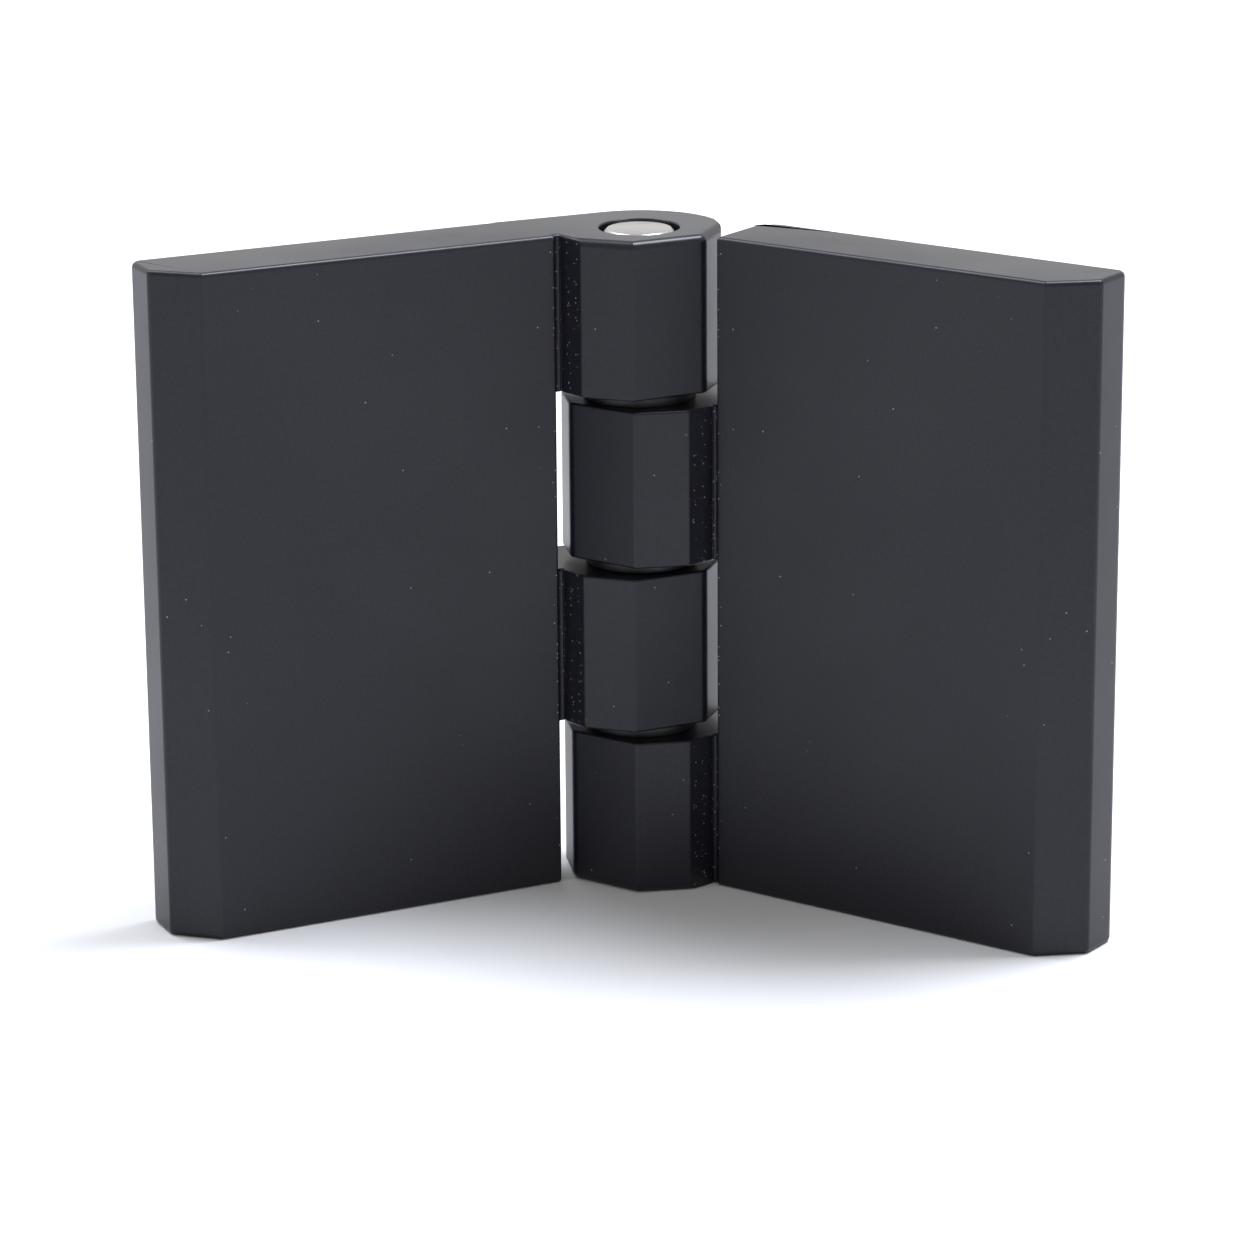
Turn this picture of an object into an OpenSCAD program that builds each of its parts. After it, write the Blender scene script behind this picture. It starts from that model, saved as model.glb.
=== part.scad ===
// Rear-fixed die-cast door hinge: two thick plain leaves, four interleaved knuckles,
// a pressed pin, spacer washers in the gaps and threaded studs behind the leaves.
// Leaf section: u runs outwards from the pin axis along the leaf, v runs towards the
// plain front face, so the front face is v = 0 and the mounting face is v = -leaf_t.

/* [Leaves] */
// Height of both leaves, along the pin
leaf_h = 60; // [52:1:80]
// Distance from the pin axis to a leaf's outer edge
leaf_reach = 45; // [42:1:60]
// Thickness of a leaf, from the mounting face to the plain front face
leaf_t = 8; // [7:0.5:9]
// Distance from the pin axis to a leaf's inner end wall, beside the other leaf's knuckles
inner_reach = 8.2; // [8:0.1:9]
// Width of the bevel along the outer edge, measured along the leaf
bevel_w = 3.6; // [1:0.1:4]
// Depth of that bevel, measured into the leaf
bevel_d = 3.3; // [1:0.1:4]
// Radius on the outer edge behind
outer_round = 1.2; // [0.5:0.1:2]
// Radius on the inner edge behind
inner_round = 2; // [0.5:0.1:3]

/* [Knuckles] */
// Gap between one knuckle and the next
knuckle_gap = 1; // [0.8:0.1:2]
// Radius of a knuckle's round back
knuckle_r = 7.6; // [7.4:0.1:7.8]
// Half of the width of a knuckle's faceted front
knuckle_half_w = 6.95; // [6.5:0.05:7]
// Distance from the pin axis to a knuckle's front facet
knuckle_front = 5.9; // [5.5:0.1:6.5]
// Size of the 45 degree facets beside the front facet
knuckle_facet = 3.4; // [3:0.1:4]
// Depth of the groove between a knuckle's foot and the plain front of its own leaf
foot_groove = 0.5; // [0.2:0.1:1]

/* [Pin] */
// Diameter of the pin
pin_d = 6.2; // [5:0.1:7]
// How far the pin's ends lie below the end faces
pin_recess = 0.1; // [0.1:0.1:1]
// Radial clearance round the pin in the frame leaf's knuckles
pin_clearance = 0.05; // [0.02:0.01:0.1]
// Diameter of the wider mouth at each end of the bore
mouth_d = 7.2; // [7.1:0.1:8]
// Depth of that mouth
mouth_depth = 2; // [1:0.5:3]
// Small bevel on the pin's ends
pin_break = 0.25; // [0.1:0.05:0.4]

/* [Spacer washers] */
// Outer diameter of a spacer washer
washer_d = 10; // [9:0.5:11]
// Thickness of a spacer washer
washer_t = 0.9; // [0.6:0.05:0.95]
// Radial play of a spacer washer round the pin
washer_play = 0.1; // [0.05:0.05:0.3]

/* [Rear fixing] */
// Thread diameter of the studs
stud_d = 6; // [5:1:8]
// Length of a stud beyond the mounting face
stud_out = 12; // [8:1:13]
// Length of a stud cast into its boss
stud_in = 5.5; // [4:0.5:6]
// Length of the plain neck between the mounting face and the knurled root
stud_neck = 1.5; // [1:0.5:2]
// Depth of the recess round a stud's neck, in the mounting face
stud_recess = 0.5; // [0.3:0.1:0.8]
// Diameter of a stud's knurled root, inside the boss
stud_root_d = 7.5; // [7:0.5:9]
// Distance between the two studs of a leaf
stud_spacing = 36; // [32:1:38]
// Distance from the pin axis to the studs
stud_reach = 25; // [24:1:27]
// Bevel on a stud's free end
stud_break = 0.8; // [0.5:0.1:1]
// Diameter of the boss round a stud
boss_d = 13; // [12:0.5:15]
// Depth of the cored pockets behind a leaf
core_depth = 3.5; // [2:0.5:4]
// Width of the rim round the pockets
rim_w = 4; // [3:0.5:5]
// Width of the ribs between the pockets
rib_w = 2.4; // [2:0.1:3]

/* [Pose] */
// How far the door leaf is folded forward from the flat position
rest_fold = 61.5; // [0:0.5:110]

/* [Hidden] */
$fn = 96;
eps = 0.01;
knuckle_count = 4;
knuckle_h = (leaf_h - (knuckle_count - 1) * knuckle_gap) / knuckle_count;
knuckle_pitch = knuckle_h + knuckle_gap;
back_taper = 3;
pin_len = leaf_h - 2 * pin_recess;
stud_neck_d = 0.9 * stud_d;
stud_recess_d = stud_d + 1;
black_coat = [0.17, 0.17, 0.19];
pin_steel = [0.85, 0.84, 0.80];
black_plastic = [0.05, 0.05, 0.05];
zinc_steel = [0.70, 0.71, 0.73];

// Bottom of a knuckle, counted from the lowest one
function knuckle_z(index) = index * knuckle_pitch;

// A corner to take off so that a radius is left: the corner is at the origin
module round_corner(r) {
    difference() {
        translate([-eps, -eps]) square(r + eps);
        translate([r, r]) circle(r);
    }
}

// Section of a leaf between the inner end wall and the outer edge
module leaf_section() {
    difference() {
        polygon([[inner_reach, 0], [leaf_reach - bevel_w, 0], [leaf_reach, -bevel_d],
                 [leaf_reach, -leaf_t], [inner_reach, -leaf_t]]);
        translate([leaf_reach, -leaf_t]) mirror([1, 0]) round_corner(outer_round);
        translate([inner_reach, -leaf_t]) round_corner(inner_round);
    }
}

// Section of a knuckle with the arm that joins it to its own leaf
module knuckle_section() {
    intersection() {
        circle(knuckle_r);
        translate([-knuckle_r, -knuckle_r]) square([2 * knuckle_r, knuckle_r]);
    }
    polygon([[-knuckle_r, 0],
             [-knuckle_half_w, knuckle_front - knuckle_facet],
             [-knuckle_half_w + knuckle_facet, knuckle_front],
             [knuckle_half_w - knuckle_facet, knuckle_front],
             [knuckle_half_w, knuckle_front - knuckle_facet],
             [knuckle_r, 0]]);
    polygon([[0, -foot_groove], [inner_reach + back_taper, -foot_groove],
             [inner_reach + back_taper, -leaf_t], [0, -knuckle_r]]);
}

// Places a stud, drawn with its root towards +Z and its thread towards -Z, in a leaf's boss
module at_stud(side) {
    translate([stud_reach, -leaf_t, leaf_h / 2 + side * stud_spacing / 2])
        rotate([-90, 0, 0])
            children();
}

// The part of a stud that the casting holds
module stud_hold() {
    translate([0, 0, -eps]) cylinder(d = stud_neck_d, h = stud_neck + 2 * eps);
    translate([0, 0, stud_neck]) cylinder(d = stud_root_d, h = stud_in - stud_neck);
}

// Steel stud with a bevelled free end
module stud() {
    color(zinc_steel) {
        stud_hold();
        translate([0, 0, stud_break - stud_out]) cylinder(d = stud_d, h = stud_out - stud_break);
        translate([0, 0, -stud_out])
            cylinder(d1 = stud_d - 2 * stud_break, d2 = stud_d, h = stud_break);
    }
}

// Ribs and bosses that stay between the cored pockets, in the plane of the mounting face
module pocket_grid() {
    translate([stud_reach - rib_w / 2, 0]) square([rib_w, leaf_h]);
    for (side = [-1, 0, 1])
        translate([0, leaf_h / 2 + side * stud_spacing / 2 - rib_w / 2])
            square([leaf_reach, rib_w]);
    for (side = [-1, 1])
        translate([stud_reach, leaf_h / 2 + side * stud_spacing / 2])
            circle(d = boss_d);
}

// Pockets cored into the mounting face
module cored_pockets() {
    pocket_reach = inner_reach + rim_w;
    translate([0, core_depth - leaf_t, 0])
        rotate([90, 0, 0])
            linear_extrude(core_depth + eps)
                difference() {
                    translate([pocket_reach, rim_w])
                        square([leaf_reach - rim_w - pocket_reach, leaf_h - 2 * rim_w]);
                    pocket_grid();
                }
}

// One casting with its knuckles at the listed places and a bore of the given width
module leaf(knuckles, bore_d) {
    color(black_coat)
        difference() {
            union() {
                linear_extrude(leaf_h) leaf_section();
                for (index = knuckles)
                    translate([0, 0, knuckle_z(index)])
                        linear_extrude(knuckle_h) knuckle_section();
            }
            translate([0, 0, -eps]) cylinder(d = bore_d, h = leaf_h + 2 * eps);
            for (z = [-eps, leaf_h - mouth_depth])
                translate([0, 0, z]) cylinder(d = mouth_d, h = mouth_depth + eps);
            cored_pockets();
            for (side = [-1, 1])
                at_stud(side) {
                    stud_hold();
                    translate([0, 0, -eps]) cylinder(d = stud_recess_d, h = stud_recess + eps);
                }
        }
}

// Washer in the gap that starts at height z
module spacer_washer(z) {
    color(black_plastic)
        translate([0, 0, z])
            difference() {
                cylinder(d = washer_d, h = washer_t);
                translate([0, 0, -eps])
                    cylinder(d = pin_d + 2 * washer_play, h = washer_t + 2 * eps);
            }
}

// Frame leaf's place: the origin is midway between its studs on its mounting face,
// which looks towards +Y
module frame_side() {
    translate([stud_reach, -leaf_t, -leaf_h / 2])
        rotate([0, 0, 180])
            children();
}

// Door leaf's place: the same casting turned end for end and folded forward on the pin
module door_side() {
    translate([stud_reach, -leaf_t, -leaf_h / 2])
        rotate([0, 0, -rest_fold])
            mirror([0, 1, 0])
                children();
}

module frame_leaf() {
    frame_side() leaf([1, 3], pin_d + 2 * pin_clearance);
}

module door_leaf() {
    door_side() leaf([0, 2], pin_d);
}

module hinge_pin() {
    color(pin_steel)
        door_side()
            translate([0, 0, pin_recess]) {
                cylinder(d1 = pin_d - 2 * pin_break, d2 = pin_d, h = pin_break);
                translate([0, 0, pin_break]) cylinder(d = pin_d, h = pin_len - 2 * pin_break);
                translate([0, 0, pin_len - pin_break])
                    cylinder(d1 = pin_d, d2 = pin_d - 2 * pin_break, h = pin_break);
            }
}

// The washers lie against the door leaf's knuckles
module spacer_washer_top() {
    door_side() spacer_washer(knuckle_z(2) + knuckle_h);
}

module spacer_washer_middle() {
    door_side() spacer_washer(knuckle_z(2) - washer_t);
}

module spacer_washer_bottom() {
    door_side() spacer_washer(knuckle_z(0) + knuckle_h);
}

module frame_stud_upper() {
    frame_side() at_stud(1) stud();
}

module frame_stud_lower() {
    frame_side() at_stud(-1) stud();
}

module door_stud_upper() {
    door_side() at_stud(1) stud();
}

module door_stud_lower() {
    door_side() at_stud(-1) stud();
}

frame_leaf();
door_leaf();
hinge_pin();
spacer_washer_top();
spacer_washer_middle();
spacer_washer_bottom();
frame_stud_upper();
frame_stud_lower();
door_stud_upper();
door_stud_lower();
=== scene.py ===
import math

import bmesh
import bpy
from mathutils import Matrix, Vector


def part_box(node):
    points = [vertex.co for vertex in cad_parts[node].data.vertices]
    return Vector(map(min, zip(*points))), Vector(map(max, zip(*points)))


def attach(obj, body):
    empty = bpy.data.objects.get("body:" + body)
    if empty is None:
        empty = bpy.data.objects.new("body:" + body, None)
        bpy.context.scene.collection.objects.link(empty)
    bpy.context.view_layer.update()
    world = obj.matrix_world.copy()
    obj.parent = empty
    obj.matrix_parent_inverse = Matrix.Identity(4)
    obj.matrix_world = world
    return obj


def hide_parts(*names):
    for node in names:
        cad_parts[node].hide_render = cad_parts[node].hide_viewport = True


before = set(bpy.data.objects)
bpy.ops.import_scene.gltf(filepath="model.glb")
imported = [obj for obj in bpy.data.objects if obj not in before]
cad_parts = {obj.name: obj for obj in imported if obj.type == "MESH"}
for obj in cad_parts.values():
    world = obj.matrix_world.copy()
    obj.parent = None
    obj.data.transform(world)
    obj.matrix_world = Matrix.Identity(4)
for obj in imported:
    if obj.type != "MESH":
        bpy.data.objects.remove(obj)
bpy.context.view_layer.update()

MM = 0.001

# Places and sizes of the hinge, in millimetres
PIN_AXIS = (25.0, -8.0)
REST_FOLD = 61.5
LEAF_BOTTOM = -30.0
LEAF_TOP = 30.0
LEAF_REACH = 45.0
LEAF_T = 8.0
BEVEL_W = 3.6
INNER_REACH = 8.2
PIN_R = 3.1
PIN_RECESS = 0.1
PIN_BREAK = 0.25
WASHER_R = 5.0
WASHER_BORE_R = 3.2
STUD_R = 3.0
STUD_CORE_R = 2.46
STUD_PITCH = 1.0
STUD_OUT = 12.0
STUD_BREAK = 0.8
STUD_NECK = 1.5
STUD_NECK_R = 2.7
STUD_IN = 5.5
STUD_ROOT_R = 3.75
STUD_REACH = 25.0
STUD_SPACING = 36.0
# Distances from the pin where a leaf's flat faces are parted, so that none has a hole in it:
# through the bore, the pockets beside the knuckles, the studs and the outer pockets
CLEAN_CUTS = (0.0, 16.6, 25.0, 33.0)
# Softness of the castings' roundest edges, at the knuckles' outer ends
WIDEST_SOFTNESS = 0.75

TO_ROW = Matrix.Translation((PIN_AXIS[0], PIN_AXIS[1], 0))
# A leaf's own directions: x outwards from the pin, y towards the plain front face
FRAME_LEAF_PLACE = TO_ROW @ Matrix.Rotation(math.pi, 4, "Z")
DOOR_LEAF_PLACE = (TO_ROW @ Matrix.Rotation(math.radians(-REST_FOLD), 4, "Z")
                   @ Matrix.Diagonal((1, -1, 1, 1)))


# ---------------------------------------------------------------- node helpers

def new_material(name):
    material = bpy.data.materials.new(name)
    material.use_nodes = True
    return material


def principled(material):
    return material.node_tree.nodes["Principled BSDF"]


def group_with(name, inputs, outputs):
    """Shader node group with named sockets: (name, kind, default) in, (name, kind) out."""
    group = bpy.data.node_groups.new(name, "ShaderNodeTree")
    for label, kind, value in inputs:
        socket = group.interface.new_socket(name=label, in_out="INPUT", socket_type=kind)
        if value is not None:
            socket.default_value = value
    for label, kind in outputs:
        group.interface.new_socket(name=label, in_out="OUTPUT", socket_type=kind)
    return group, group.nodes.new("NodeGroupInput"), group.nodes.new("NodeGroupOutput")


def add_node(tree, kind, **settings):
    node = tree.nodes.new(kind)
    for key, value in settings.items():
        setattr(node, key, value)
    return node


def math_node(tree, operation, first, second):
    node = add_node(tree, "ShaderNodeMath", operation=operation)
    for socket, value in zip(node.inputs, (first, second)):
        if isinstance(value, (int, float)):
            socket.default_value = value
        else:
            tree.links.new(value, socket)
    return node.outputs[0]


def noise(tree, vector, scale, detail=2.0, roughness=0.5):
    node = add_node(tree, "ShaderNodeTexNoise")
    node.inputs["Scale"].default_value = scale
    node.inputs["Detail"].default_value = detail
    node.inputs["Roughness"].default_value = roughness
    tree.links.new(vector, node.inputs["Vector"])
    return node.outputs["Fac"]


def span(tree, value, low, high, to_low, to_high):
    """Turns low..high into to_low..to_high, easing in and out."""
    node = add_node(tree, "ShaderNodeMapRange", interpolation_type="SMOOTHSTEP")
    for label, number in (("From Min", low), ("From Max", high),
                          ("To Min", to_low), ("To Max", to_high)):
        node.inputs[label].default_value = number
    tree.links.new(value, node.inputs["Value"])
    return node.outputs["Result"]


def blend_colours(tree, share, first, second):
    node = add_node(tree, "ShaderNodeMix", data_type="RGBA")
    for socket, value in ((node.inputs[0], share), (node.inputs[6], first),
                          (node.inputs[7], second)):
        if isinstance(value, (int, float, tuple)):
            socket.default_value = value
        else:
            tree.links.new(value, socket)
    return node.outputs[2]


def make_powder_grain():
    """Height and gloss of a stoved powder coat: shallow orange peel with a fine grain on it."""
    group, given, result = group_with(
        "powder grain",
        [("Vector", "NodeSocketVector", None), ("Peel Scale", "NodeSocketFloat", 700.0),
         ("Grain Scale", "NodeSocketFloat", 3200.0), ("Grain Share", "NodeSocketFloat", 0.4)],
        [("Height", "NodeSocketFloat"), ("Roughness", "NodeSocketFloat"),
         ("Tone", "NodeSocketFloat")])
    vector = given.outputs["Vector"]
    peel = add_node(group, "ShaderNodeTexNoise")
    peel.inputs["Detail"].default_value = 1.5
    grain = add_node(group, "ShaderNodeTexNoise")
    grain.inputs["Detail"].default_value = 2.5
    for node, label in ((peel, "Peel Scale"), (grain, "Grain Scale")):
        group.links.new(vector, node.inputs["Vector"])
        group.links.new(given.outputs[label], node.inputs["Scale"])
    fine = math_node(group, "MULTIPLY", grain.outputs["Fac"], given.outputs["Grain Share"])
    group.links.new(math_node(group, "ADD", peel.outputs["Fac"], fine),
                    result.inputs["Height"])
    broad = noise(group, vector, 45.0, 3.0)
    group.links.new(span(group, broad, 0.3, 0.7, 0.32, 0.40), result.inputs["Roughness"])
    group.links.new(span(group, grain.outputs["Fac"], 0.3, 0.7, 0.0, 1.0),
                    result.inputs["Tone"])
    return group


def make_dust_specks():
    """Mask of sparse pale dust grains, denser where its input is high."""
    group, given, result = group_with(
        "dust specks",
        [("Vector", "NodeSocketVector", None), ("Scale", "NodeSocketFloat", 3800.0),
         ("Amount", "NodeSocketFloat", 0.1)],
        [("Mask", "NodeSocketFloat")])
    cells = add_node(group, "ShaderNodeTexVoronoi", feature="F1")
    group.links.new(given.outputs["Vector"], cells.inputs["Vector"])
    group.links.new(given.outputs["Scale"], cells.inputs["Scale"])
    centre = span(group, cells.outputs["Distance"], 0.18, 0.34, 1.0, 0.0)
    parts = add_node(group, "ShaderNodeSeparateColor")
    group.links.new(cells.outputs["Color"], parts.inputs["Color"])
    chosen = math_node(group, "LESS_THAN", parts.outputs["Red"], given.outputs["Amount"])
    group.links.new(math_node(group, "MULTIPLY", centre, chosen), result.inputs["Mask"])
    return group


def make_knuckle_foot():
    """Mask of the corner between a leaf's plain front and its own knuckles, where dust lodges.
    The vector is the leaf's own: x outwards from the pin, y towards the plain front."""
    group, given, result = group_with(
        "knuckle foot",
        [("Vector", "NodeSocketVector", None), ("Reach", "NodeSocketFloat", 0.0076),
         ("Width", "NodeSocketFloat", 0.0013)],
        [("Mask", "NodeSocketFloat")])
    apart = add_node(group, "ShaderNodeSeparateXYZ")
    group.links.new(given.outputs["Vector"], apart.inputs["Vector"])
    away = math_node(group, "ABSOLUTE",
                     math_node(group, "SUBTRACT", apart.outputs["X"],
                               given.outputs["Reach"]), 0.0)
    beside = span(group, math_node(group, "DIVIDE", away, given.outputs["Width"]),
                  0.7, 1.0, 1.0, 0.0)
    above = span(group, apart.outputs["Y"], -0.0012, -0.0004, 0.0, 1.0)
    below = span(group, apart.outputs["Y"], 0.0012, 0.0028, 1.0, 0.0)
    band = math_node(group, "MULTIPLY", above, below)
    group.links.new(math_node(group, "MULTIPLY", beside, band), result.inputs["Mask"])
    return group


def make_turning_lines():
    """Height of the fine rings that a lathe or grinder leaves on an end face."""
    group, given, result = group_with(
        "turning lines",
        [("Vector", "NodeSocketVector", None), ("Rings", "NodeSocketFloat", 9000.0)],
        [("Height", "NodeSocketFloat")])
    apart = add_node(group, "ShaderNodeSeparateXYZ")
    group.links.new(given.outputs["Vector"], apart.inputs["Vector"])
    squares = math_node(group, "ADD",
                        math_node(group, "MULTIPLY", apart.outputs["X"], apart.outputs["X"]),
                        math_node(group, "MULTIPLY", apart.outputs["Y"], apart.outputs["Y"]))
    radius = math_node(group, "SQRT", squares, 0.0)
    wave = math_node(group, "SINE", math_node(group, "MULTIPLY", radius,
                                              given.outputs["Rings"]), 0.0)
    rough = noise(group, given.outputs["Vector"], 4000.0, 3.0)
    group.links.new(math_node(group, "ADD", math_node(group, "MULTIPLY", wave, 0.3), rough),
                    result.inputs["Height"])
    return group


POWDER_GRAIN = make_powder_grain()
DUST_SPECKS = make_dust_specks()
KNUCKLE_FOOT = make_knuckle_foot()
TURNING_LINES = make_turning_lines()


def place_group(tree, group, vector):
    node = add_node(tree, "ShaderNodeGroup", node_tree=group)
    tree.links.new(vector, node.inputs["Vector"])
    return node


def object_vector(tree, location=(0, 0, 0), turn=0.0, scale=(1, 1, 1)):
    """Place on the object, counted from a location and along turned axes."""
    where = add_node(tree, "ShaderNodeTexCoord")
    mapping = add_node(tree, "ShaderNodeMapping", vector_type="TEXTURE")
    mapping.inputs["Location"].default_value = location
    mapping.inputs["Rotation"].default_value = (0, 0, turn)
    mapping.inputs["Scale"].default_value = scale
    tree.links.new(where.outputs["Object"], mapping.inputs["Vector"])
    return mapping.outputs["Vector"]


def bump_from(tree, height, distance, strength, shader):
    bump = add_node(tree, "ShaderNodeBump")
    bump.inputs["Strength"].default_value = strength
    bump.inputs["Distance"].default_value = distance
    tree.links.new(height, bump.inputs["Height"])
    tree.links.new(bump.outputs["Normal"], shader.inputs["Normal"])


# ------------------------------------------------------------------- materials

def black_powder_coat(name, turn, mirrored):
    """Semi-matt black, dusty at the knuckles' feet; turn and mirrored say how the leaf lies."""
    material = new_material(name)
    tree, shader = material.node_tree, principled(material)
    vector = object_vector(tree, (PIN_AXIS[0] * MM, PIN_AXIS[1] * MM, 0), turn,
                           (1, -1 if mirrored else 1, 1))
    grain = place_group(tree, POWDER_GRAIN, vector)
    foot = place_group(tree, KNUCKLE_FOOT, vector)
    dust = place_group(tree, DUST_SPECKS, vector)
    tree.links.new(span(tree, foot.outputs["Mask"], 0.0, 1.0, 0.0015, 0.16),
                   dust.inputs["Amount"])
    black = blend_colours(tree, grain.outputs["Tone"], (0.0045, 0.0047, 0.0085, 1),
                          (0.0080, 0.0083, 0.0140, 1))
    dusty = blend_colours(tree, dust.outputs["Mask"], black, (0.22, 0.22, 0.22, 1))
    tree.links.new(dusty, shader.inputs["Base Color"])
    tree.links.new(grain.outputs["Roughness"], shader.inputs["Roughness"])
    bump_from(tree, grain.outputs["Height"], 0.000012, 0.6, shader)
    shader.inputs["IOR"].default_value = 1.4
    return material


def pin_steel():
    material = new_material("ground pin steel")
    tree, shader = material.node_tree, principled(material)
    vector = object_vector(tree, (PIN_AXIS[0] * MM, PIN_AXIS[1] * MM, 0))
    rings = place_group(tree, TURNING_LINES, vector)
    shade = noise(tree, vector, 900.0, 3.0)
    tree.links.new(blend_colours(tree, shade, (0.40, 0.385, 0.365, 1), (0.50, 0.48, 0.455, 1)),
                   shader.inputs["Base Color"])
    tree.links.new(span(tree, shade, 0.3, 0.7, 0.30, 0.42), shader.inputs["Roughness"])
    shader.inputs["Metallic"].default_value = 1.0
    bump_from(tree, rings.outputs["Height"], 0.000004, 0.35, shader)
    return material


def black_acetal():
    material = new_material("black acetal")
    tree, shader = material.node_tree, principled(material)
    vector = object_vector(tree)
    shade = noise(tree, vector, 1200.0, 2.0)
    tree.links.new(blend_colours(tree, shade, (0.008, 0.008, 0.008, 1),
                                 (0.016, 0.016, 0.016, 1)), shader.inputs["Base Color"])
    tree.links.new(span(tree, shade, 0.3, 0.7, 0.42, 0.55), shader.inputs["Roughness"])
    bump_from(tree, noise(tree, vector, 2500.0, 2.0), 0.000008, 0.4, shader)
    return material


def zinc_plate():
    material = new_material("zinc plated steel")
    tree, shader = material.node_tree, principled(material)
    vector = object_vector(tree)
    shade = noise(tree, vector, 260.0, 4.0)
    tree.links.new(blend_colours(tree, shade, (0.46, 0.48, 0.50, 1), (0.60, 0.61, 0.62, 1)),
                   shader.inputs["Base Color"])
    tree.links.new(span(tree, shade, 0.3, 0.7, 0.24, 0.40), shader.inputs["Roughness"])
    shader.inputs["Metallic"].default_value = 1.0
    bump_from(tree, noise(tree, vector, 3000.0, 2.0), 0.000004, 0.4, shader)
    return material


FRAME_COAT = black_powder_coat("black powder coat, frame leaf", math.pi, False)
DOOR_COAT = black_powder_coat("black powder coat, door leaf", math.radians(-REST_FOLD), True)
PIN_STEEL = pin_steel()
ACETAL = black_acetal()
ZINC = zinc_plate()


# ------------------------------------------------------------- making of pieces

def finished_piece(name, bm, material, body, nodes):
    mesh = bpy.data.meshes.new(name)
    bm.to_mesh(mesh)
    bm.free()
    mesh.materials.append(material)
    piece = bpy.data.objects.new(name, mesh)
    bpy.context.scene.collection.objects.link(piece)
    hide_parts(*nodes)
    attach(piece, body)
    return piece


def into_row(bm, place):
    """Moves a shape drawn in millimetres' own place to that place in the row frame."""
    bm.transform(Matrix.Scale(MM, 4) @ place @ Matrix.Scale(1 / MM, 4))


def shade_smooth(bm, angle=30.0):
    for face in bm.faces:
        face.smooth = True
    for edge in bm.edges:
        edge.smooth = not edge.is_manifold or edge.calc_face_angle() < math.radians(angle)


def edge_softness(edge, to_leaf):
    """How far a casting's edge is rounded, in millimetres, by where it runs on the leaf."""
    a, b = (to_leaf @ (vert.co / MM) for vert in edge.verts)
    mid = (a + b) / 2
    upright = abs(a.z - b.z) > 1.0
    on_knuckle = mid.x < INNER_REACH + 0.5
    on_bevel = mid.x > LEAF_REACH - BEVEL_W - 0.5
    at_bore = mid.xy.length < 4.5
    if upright and mid.y > 1.0 and mid.x < 0:
        return 0.5  # facets on the knuckle's far side
    if upright and mid.y > 5.0:
        return 0.2  # knuckle's front facet
    if upright and mid.y > -0.6 and on_knuckle:
        return 0.16 if mid.y > 0.5 else 0.24  # knuckle's foot, and the groove below it
    if upright and on_bevel:
        return 0.14 if mid.y > -0.5 else 0.26  # ridge, and the corners behind it
    if mid.y > 3.6 and abs(mid.z) > LEAF_TOP - 0.1:
        return 0.15 if at_bore else WIDEST_SOFTNESS  # ends of the first and last knuckle
    if on_knuckle:
        return 0.15 if at_bore else 0.24
    if mid.y < 0.5 - LEAF_T:
        inside = abs(mid.z) < LEAF_TOP - 2.0 and mid.x < LEAF_REACH - 2.0
        return 0.2 if inside else 0.42  # pockets and recesses, and the leaf's back outline
    return 0.45  # ends of the plain front and of the bevel


def leaf_casting(name, node, body, place, coat):
    """A coated casting: its exact shape with every corner run soft, as die and coat leave it."""
    bm = bmesh.new()
    bm.from_mesh(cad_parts[node].data)
    bmesh.ops.remove_doubles(bm, verts=bm.verts, dist=1e-6)
    for reach in CLEAN_CUTS:
        cut = bmesh.ops.bisect_plane(bm, geom=bm.verts[:] + bm.edges[:] + bm.faces[:],
                                     plane_co=place @ Vector((reach, 0, 0)) * MM,
                                     plane_no=place.to_3x3() @ Vector((1, 0, 0)), dist=1e-6)
        for item in cut["geom_cut"]:
            if isinstance(item, bmesh.types.BMEdge):
                item.seam = True
    bmesh.ops.dissolve_limit(bm, angle_limit=math.radians(1.0), verts=bm.verts,
                             edges=bm.edges, use_dissolve_boundaries=False, delimit={"SEAM"})
    to_leaf = place.inverted()
    softness = bm.edges.layers.float.new("bevel_weight_edge")
    for edge in bm.edges:
        if edge.is_manifold and edge.calc_face_angle() > math.radians(20.0):
            edge[softness] = edge_softness(edge, to_leaf) / WIDEST_SOFTNESS
    for face in bm.faces:
        face.smooth = True
    piece = finished_piece(name, bm, coat, body, [node])
    soft = piece.modifiers.new("soft corners", "BEVEL")
    soft.limit_method = "WEIGHT"
    soft.width = WIDEST_SOFTNESS * MM
    soft.segments = 4
    soft.profile = 0.5
    soft.use_clamp_overlap = False
    soft.loop_slide = False
    soft.material = -1
    even = piece.modifiers.new("even shading on flat faces", "WEIGHTED_NORMAL")
    even.mode = "FACE_AREA"
    even.weight = 100
    even.keep_sharp = True
    return piece


def spun(profile, steps=64):
    """Closed turned shape about the z axis from (radius, height) points, in millimetres."""
    bm = bmesh.new()
    verts = [bm.verts.new((r * MM, 0, z * MM)) for r, z in profile]
    edges = [bm.edges.new(pair) for pair in zip(verts, verts[1:])]
    bmesh.ops.spin(bm, geom=verts + edges, axis=(0, 0, 1), cent=(0, 0, 0), dvec=(0, 0, 0),
                   angle=math.tau, steps=steps, use_merge=True, use_duplicate=False)
    bmesh.ops.remove_doubles(bm, verts=bm.verts, dist=1e-7)
    bmesh.ops.recalc_face_normals(bm, faces=bm.faces)
    return bm


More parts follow.
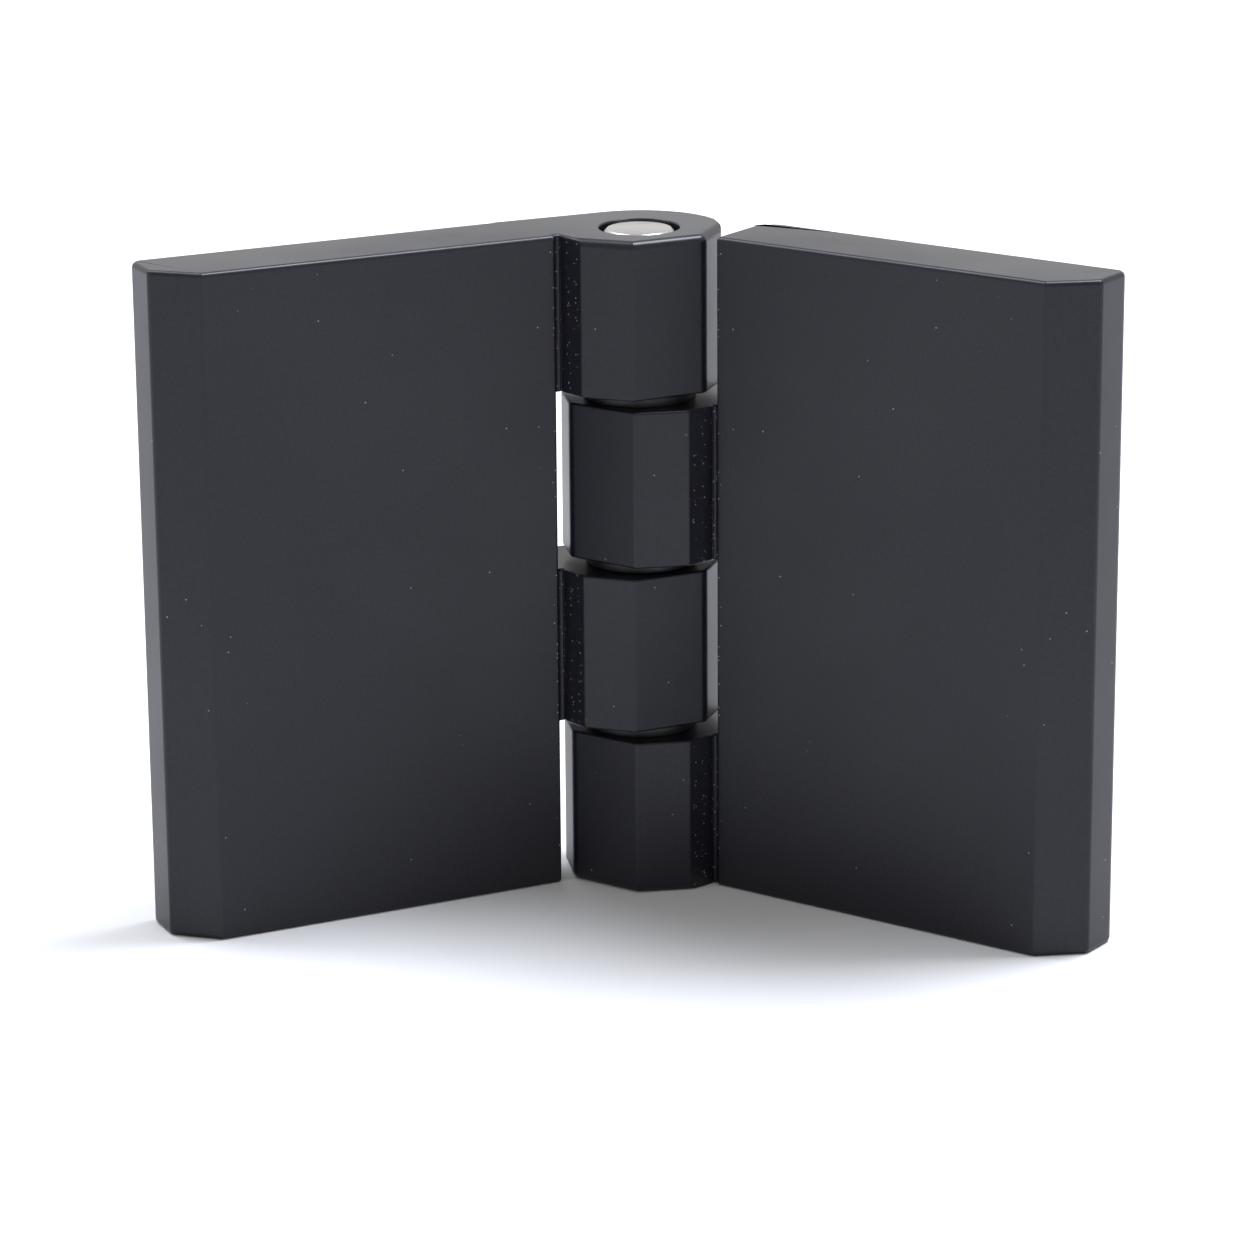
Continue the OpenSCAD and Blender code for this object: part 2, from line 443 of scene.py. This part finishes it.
def hinge_pin():
    top = LEAF_TOP - PIN_RECESS
    profile = [(0, -top), (PIN_R - PIN_BREAK - 0.08, -top), (PIN_R - PIN_BREAK, -top + 0.02),
               (PIN_R - 0.02, -top + PIN_BREAK - 0.02), (PIN_R, -top + PIN_BREAK + 0.04),
               (PIN_R, top - PIN_BREAK - 0.04), (PIN_R - 0.02, top - PIN_BREAK + 0.02),
               (PIN_R - PIN_BREAK, top - 0.02), (PIN_R - PIN_BREAK - 0.08, top), (0, top)]
    bm = spun(profile, 96)
    into_row(bm, TO_ROW)
    shade_smooth(bm, 25.0)
    return finished_piece("hinge_pin_ground", bm, PIN_STEEL, "door_side", ["hinge_pin"])


def spacer_washer(node):
    low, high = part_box(node)
    under, over = low.z / MM, high.z / MM
    soft = 0.12
    profile = [(WASHER_BORE_R, under + soft), (WASHER_BORE_R + soft, under),
               (WASHER_R - soft, under), (WASHER_R - 0.03, under + 0.03),
               (WASHER_R, under + soft), (WASHER_R, over - soft),
               (WASHER_R - 0.03, over - 0.03), (WASHER_R - soft, over),
               (WASHER_BORE_R + soft, over), (WASHER_BORE_R, over - soft),
               (WASHER_BORE_R, under + soft)]
    bm = spun(profile, 72)
    into_row(bm, TO_ROW)
    shade_smooth(bm)
    return finished_piece(node + "_ring", bm, ACETAL, "door_side", [node])


def thread_outline():
    """One pitch of a rolled metric thread: root flat, flank, crest flat, flank."""
    crest = STUD_PITCH / 8
    root = STUD_PITCH / 4
    flank = (STUD_PITCH - crest - root) / 2
    return [(STUD_CORE_R, 0), (STUD_CORE_R, root), (STUD_R, root + flank),
            (STUD_R, root + flank + crest), (STUD_CORE_R, STUD_PITCH)]


def cut_and_close(bm, height, upward):
    """Cuts the thread square at a height and closes the end with a flat face."""
    cut = bmesh.ops.bisect_plane(bm, geom=bm.verts[:] + bm.edges[:] + bm.faces[:],
                                 plane_co=(0, 0, height * MM), plane_no=(0, 0, upward),
                                 clear_outer=True, dist=1e-7)
    rim = [item for item in cut["geom_cut"] if isinstance(item, bmesh.types.BMEdge)]
    bmesh.ops.edgeloop_fill(bm, edges=rim)


def thread():
    turns = int(STUD_OUT / STUD_PITCH) + 2
    steps = 36
    bm = bmesh.new()
    verts = [bm.verts.new((r * MM, 0, (z - STUD_PITCH * 1.5) * MM)) for r, z in thread_outline()]
    edges = [bm.edges.new(pair) for pair in zip(verts, verts[1:])]
    bmesh.ops.spin(bm, geom=verts + edges, axis=(0, 0, 1), cent=(0, 0, 0),
                   dvec=(0, 0, STUD_PITCH / steps * MM), angle=math.tau * turns,
                   steps=steps * turns, use_merge=False, use_duplicate=False)
    bmesh.ops.remove_doubles(bm, verts=bm.verts, dist=2e-6)
    for vert in bm.verts:
        radius = vert.co.xy.length
        allowed = (STUD_R + min(0.0, STUD_OUT - STUD_BREAK - vert.co.z / MM)) * MM
        if radius > allowed > 0:
            vert.co.xy *= allowed / radius
    cut_and_close(bm, STUD_OUT, 1)
    cut_and_close(bm, 0.0, -1)
    bmesh.ops.recalc_face_normals(bm, faces=bm.faces)
    return bm


def threaded_stud(node, body, place, side):
    """A stud drawn along z with its free end up, then set square into its leaf's back."""
    bm = thread()
    shank = spun([(0, -STUD_IN), (STUD_ROOT_R - 0.3, -STUD_IN), (STUD_ROOT_R, 0.3 - STUD_IN),
                  (STUD_ROOT_R, -STUD_NECK - 0.2), (STUD_ROOT_R - 0.2, -STUD_NECK),
                  (STUD_NECK_R, -STUD_NECK), (STUD_NECK_R, -0.15), (STUD_CORE_R, 0.04),
                  (0, 0.04)], 48)
    joined = bpy.data.meshes.new("shank")
    shank.to_mesh(joined)
    shank.free()
    bm.from_mesh(joined)
    bpy.data.meshes.remove(joined)
    seat = (place @ Matrix.Translation((STUD_REACH, -LEAF_T, side * STUD_SPACING / 2))
            @ Matrix.Rotation(math.pi / 2, 4, "X"))
    into_row(bm, seat)
    bmesh.ops.recalc_face_normals(bm, faces=bm.faces)
    shade_smooth(bm, 25.0)
    return finished_piece(node + "_threaded", bm, ZINC, body, [node])


leaf_casting("frame_leaf_casting", "frame_leaf", "frame_side", FRAME_LEAF_PLACE, FRAME_COAT)
leaf_casting("door_leaf_casting", "door_leaf", "door_side", DOOR_LEAF_PLACE, DOOR_COAT)
hinge_pin()
for washer in ("spacer_washer_top", "spacer_washer_middle", "spacer_washer_bottom"):
    spacer_washer(washer)
for leaf, leaf_place in (("frame", FRAME_LEAF_PLACE), ("door", DOOR_LEAF_PLACE)):
    for level, side in (("upper", 1), ("lower", -1)):
        threaded_stud(leaf + "_stud_" + level, leaf + "_side", leaf_place, side)


# ------------------------------------------------------- floor, light and camera

# Angles in degrees, distances in millimetres
VIEW_AZIMUTH = -26.228
VIEW_ELEVATION = 16.508
VIEW_ROLL = -0.4
VIEW_DISTANCE = 431.293
VIEW_TARGET = (23.826, -7.4215, -6.838)
LENS = 136.9
# Level direction from the camera towards the hinge and beyond
AWAY_FROM_VIEW = (0.442, 0.897, 0.0)


def paper_floor():
    bm = bmesh.new()
    bmesh.ops.create_grid(bm, x_segments=1, y_segments=1, size=3.0,
                          matrix=Matrix.Translation((0, 0, LEAF_BOTTOM * MM)))
    mesh = bpy.data.meshes.new("paper floor")
    bm.to_mesh(mesh)
    bm.free()
    floor = bpy.data.objects.new("paper_floor", mesh)
    bpy.context.scene.collection.objects.link(floor)
    material = new_material("white paper")
    tree, shader = material.node_tree, principled(material)
    fibre = noise(tree, object_vector(tree), 400.0, 3.0)
    tree.links.new(blend_colours(tree, fibre, (0.80, 0.80, 0.80, 1), (0.82, 0.82, 0.82, 1)),
                   shader.inputs["Base Color"])
    shader.inputs["Roughness"].default_value = 0.8
    shader.inputs["Specular IOR Level"].default_value = 0.2
    mesh.materials.append(material)


def soft_box(name, place, aim, size, power):
    """Square, slightly cool lamp; the leaves' top front edges show it as a bright line."""
    light = bpy.data.lights.new(name, "AREA")
    light.shape = "SQUARE"
    light.size = size
    light.energy = power
    light.color = (0.92, 0.96, 1.08)
    lamp = bpy.data.objects.new(name, light)
    bpy.context.scene.collection.objects.link(lamp)
    lamp.location = place
    lamp.rotation_euler = (Vector(aim) - Vector(place)).to_track_quat("-Z", "Y").to_euler()


def studio_world():
    """White room, dimmer overhead and on the side the hinge's plain fronts look to."""
    world = bpy.data.worlds.new("white studio")
    bpy.context.scene.world = world
    world.use_nodes = True
    tree = world.node_tree
    background = tree.nodes["Background"]
    where = add_node(tree, "ShaderNodeTexCoord")
    along = add_node(tree, "ShaderNodeVectorMath", operation="DOT_PRODUCT")
    tree.links.new(where.outputs["Generated"], along.inputs[0])
    along.inputs[1].default_value = AWAY_FROM_VIEW
    apart = add_node(tree, "ShaderNodeSeparateXYZ")
    tree.links.new(where.outputs["Generated"], apart.inputs["Vector"])
    walls = span(tree, along.outputs["Value"], -1.0, -0.1, 0.70, 1.15)
    ceiling = span(tree, apart.outputs["Z"], 0.35, 0.6, 1.0, 0.5)
    background.inputs["Color"].default_value = (1, 1, 1, 1)
    tree.links.new(math_node(tree, "MULTIPLY", walls, ceiling),
                   background.inputs["Strength"])


def set_camera():
    data = bpy.data.cameras.new("camera")
    data.sensor_width = 36.0
    data.lens = LENS
    data.clip_start, data.clip_end = 0.01, 20.0
    camera = bpy.data.objects.new("camera", data)
    bpy.context.scene.collection.objects.link(camera)
    turn = math.radians(VIEW_AZIMUTH)
    rise = math.radians(VIEW_ELEVATION)
    back = Vector((math.sin(turn) * math.cos(rise), -math.cos(turn) * math.cos(rise),
                   math.sin(rise)))
    level = Vector((math.cos(turn), math.sin(turn), 0))
    upward = back.cross(level)
    axes = Matrix((level, upward, back)).transposed().to_4x4()
    roll = Matrix.Rotation(math.radians(VIEW_ROLL), 4, "Z")
    place = Matrix.Translation((Vector(VIEW_TARGET) + back * VIEW_DISTANCE) * MM)
    camera.matrix_world = place @ axes @ roll
    bpy.context.scene.camera = camera


bpy.context.scene.view_settings.view_transform = "Standard"
bpy.context.scene.view_settings.look = "None"
paper_floor()
studio_world()
soft_box("soft box above the frame leaf", (0.56, -0.05, 1.2), (0.02, 0.0, 0.0), 0.5, 18.5)
soft_box("soft box above the door leaf", (-0.40, 0.66, 1.2), (0.04, 0.0, 0.0), 0.6, 11.0)
set_camera()
